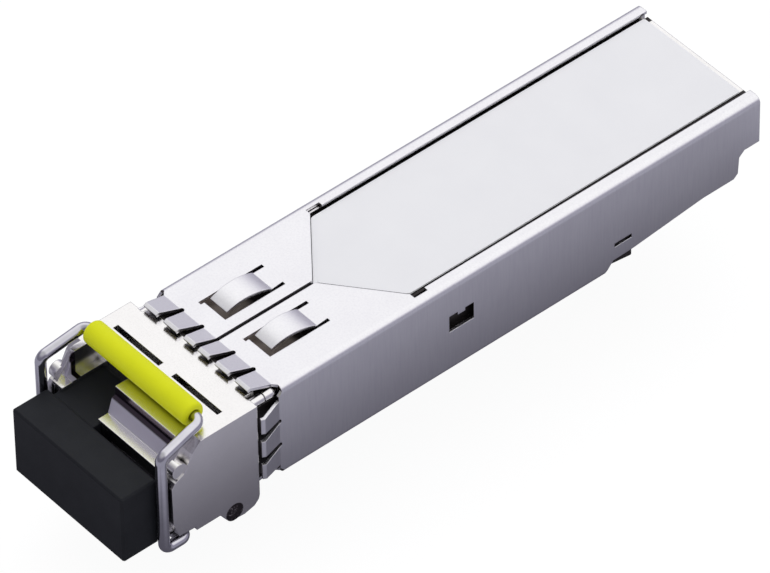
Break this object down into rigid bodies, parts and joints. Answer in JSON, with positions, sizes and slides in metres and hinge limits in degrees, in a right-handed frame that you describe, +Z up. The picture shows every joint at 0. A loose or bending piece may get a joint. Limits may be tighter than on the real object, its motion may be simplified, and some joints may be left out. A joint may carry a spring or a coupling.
{
  "type": "sfp optical transceiver",
  "caption": "Pluggable optical transceiver module with sprung metal shell, one fibre port, wire bail latch and dust plug.",
  "frame": {"origin": "on the underside, on the centre line, half way along the 47.5 mm that enters the cage", "axes": "+Y towards the card edge at the rear, +X across, +Z up"},
  "size_m": [0.0146, 0.059, 0.0118],
  "materials": {
    "shell_steel": "satin rolled",
    "plated_casting": "bright plated",
    "label": "silver film",
    "wire_steel": "drawn",
    "sleeve_plastic": "satin",
    "plug_rubber": "matt",
    "pad_rubber": "matt",
    "board": "solder mask",
    "gold": "gold plated",
    "chip": "moulded",
    "component_ceramic": "fired",
    "zirconia": "polished",
    "flex": "film"
  },
  "bodies": {
    "module": {"shell": "shell_steel", "base_casting": "plated_casting", "top_cover": "plated_casting", "label_plate": "label", "pivot_pin": "wire_steel", "latch_spring": "shell_steel", "circuit_board": "board", "edge_contacts": "gold", "driver_chip": "chip", "controller_chip": "chip", "memory_chip": "chip", "capacitors": "component_ceramic", "inductors": "chip", "crystal": "wire_steel", "thermal_pad": "pad_rubber", "receptacle_barrel": "wire_steel", "alignment_sleeve": "zirconia", "fibre_stub": "zirconia", "optical_block": "wire_steel", "laser_can": "gold", "detector_can": "gold", "laser_flex": "flex", "detector_flex": "flex", "optics_clamp": "plated_casting", "barrel_gasket": "plug_rubber"},
    "bail": {"bail_wire": "wire_steel", "bail_sleeve": "sleeve_plastic"},
    "latch": {"latch_rocker": "shell_steel"},
    "plug": {"dust_plug": "plug_rubber"}
  },
  "joints": [
    {"name": "bail_swing", "type": "hinge", "parent": "module", "child": "bail", "pos_m": [0, -0.0301, -0.0003], "axis": [1, 0, 0], "range_deg": [0, 107]},
    {"name": "latch_rock", "type": "hinge", "parent": "module", "child": "latch", "pos_m": [0, -0.02605, -0.00045], "axis": [1, 0, 0], "range_deg": [0, 6.4], "deforming": ["latch_spring"]},
    {"name": "plug_slide", "type": "slide", "parent": "module", "child": "plug", "axis": [0, -1, 0], "range_m": [0, 0.008]}
  ],
  "couplings": [
    {"joint": "latch_rock", "follows": "bail_swing", "ratio": 0.059}
  ]
}
